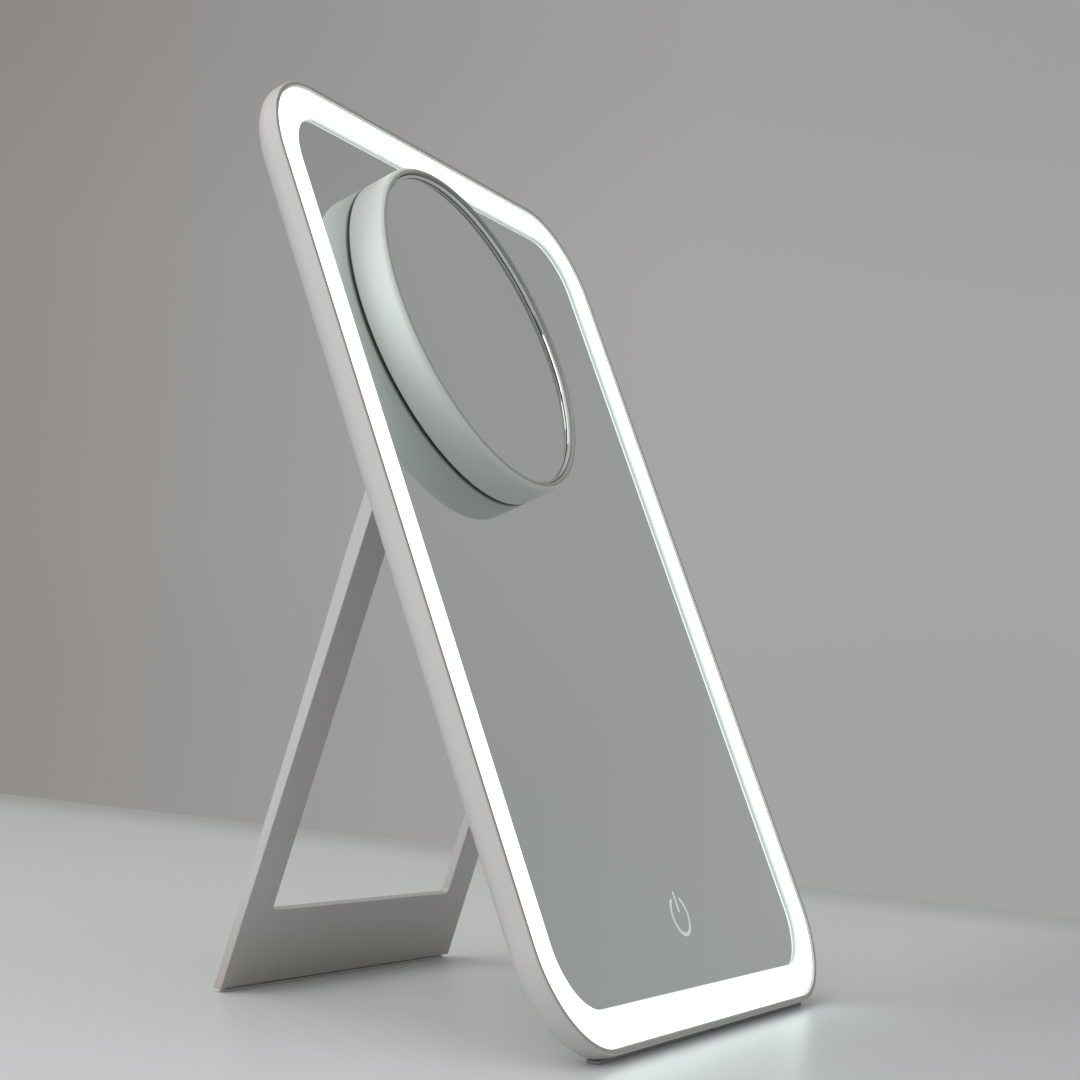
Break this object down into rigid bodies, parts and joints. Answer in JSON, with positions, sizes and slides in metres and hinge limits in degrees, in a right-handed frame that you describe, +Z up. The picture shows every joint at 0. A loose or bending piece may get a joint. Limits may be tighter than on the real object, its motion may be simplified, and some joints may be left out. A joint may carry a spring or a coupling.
{
  "type": "travel mirror",
  "caption": "Flat lit travel mirror with rounded corners, leaning on a fold-out frame stand, with a round magnifying mirror held on the glass by magnets.",
  "frame": {"origin": "centre of the bounding box on the surface that the open mirror stands on", "axes": "+Z up, +X to the right of someone looking into the mirror, -Y towards that person; the panel leans back towards +Y"},
  "size_m": [0.24, 0.1502, 0.3066],
  "materials": {
    "shell": "fine matt",
    "diffuser": "milky, lit from behind",
    "reflector": "white",
    "mirror": "silvered glass",
    "steel": "plain",
    "chrome": "bright",
    "rubber": "matt",
    "board": "solder resist",
    "cell": "foil pouch",
    "contact": "moulded"
  },
  "bodies": {
    "panel": {"rear_shell": "shell", "light_frame": "reflector", "light_diffuser": "diffuser", "main_mirror": "mirror", "steel_backplate": "steel", "touch_sensor": "board", "led_strip_top": "reflector", "led_strip_bottom": "reflector", "led_strip_left": "reflector", "led_strip_right": "reflector", "main_board": "board", "battery_left": "cell", "battery_right": "cell", "inlet_board": "board", "charge_inlet": "steel", "switch_board": "board", "power_switch": "contact", "brightness_switch": "contact", "hinge_bracket_left": "steel", "hinge_bracket_right": "steel", "hinge_pin_left": "steel", "hinge_pin_right": "steel", "washer_left_inner": "steel", "washer_left_outer": "steel", "washer_right_inner": "steel", "washer_right_outer": "steel", "bracket_screw_1": "steel", "bracket_screw_2": "steel", "bracket_screw_3": "steel", "bracket_screw_4": "steel", "board_screw_1": "steel", "board_screw_2": "steel", "board_screw_3": "steel", "board_screw_4": "steel", "foot_pad_left": "rubber", "foot_pad_right": "rubber"},
    "stand": {"stand_frame": "shell", "stand_foot_strip": "rubber"},
    "magnifier": {"magnifier_casing": "shell", "magnifier_mirror": "mirror", "magnifier_trim": "chrome", "magnifier_cover": "shell", "magnifier_pad": "rubber", "magnet_1": "steel", "magnet_2": "steel", "magnet_3": "steel", "magnet_4": "steel"},
    "power_button": {"power_button": "shell"},
    "brightness_button": {"brightness_button": "shell"}
  },
  "joints": [
    {"name": "stand_hinge", "type": "hinge", "parent": "panel", "child": "stand", "pos_m": [0, 0.02546, 0.19403], "axis": [-1, 0, 0], "range_deg": [0, 39.4]},
    {"name": "magnifier_pull", "type": "slide", "parent": "panel", "child": "magnifier", "axis": [0, -0.9047, 0.4261], "range_m": [0, 0.04]},
    {"name": "power_press", "type": "slide", "parent": "panel", "child": "power_button", "axis": [-1, 0, 0], "range_m": [0, 0.0005], "stiffness_N_per_m": 1500},
    {"name": "brightness_press", "type": "slide", "parent": "panel", "child": "brightness_button", "axis": [-1, 0, 0], "range_m": [0, 0.0005], "stiffness_N_per_m": 1500}
  ]
}
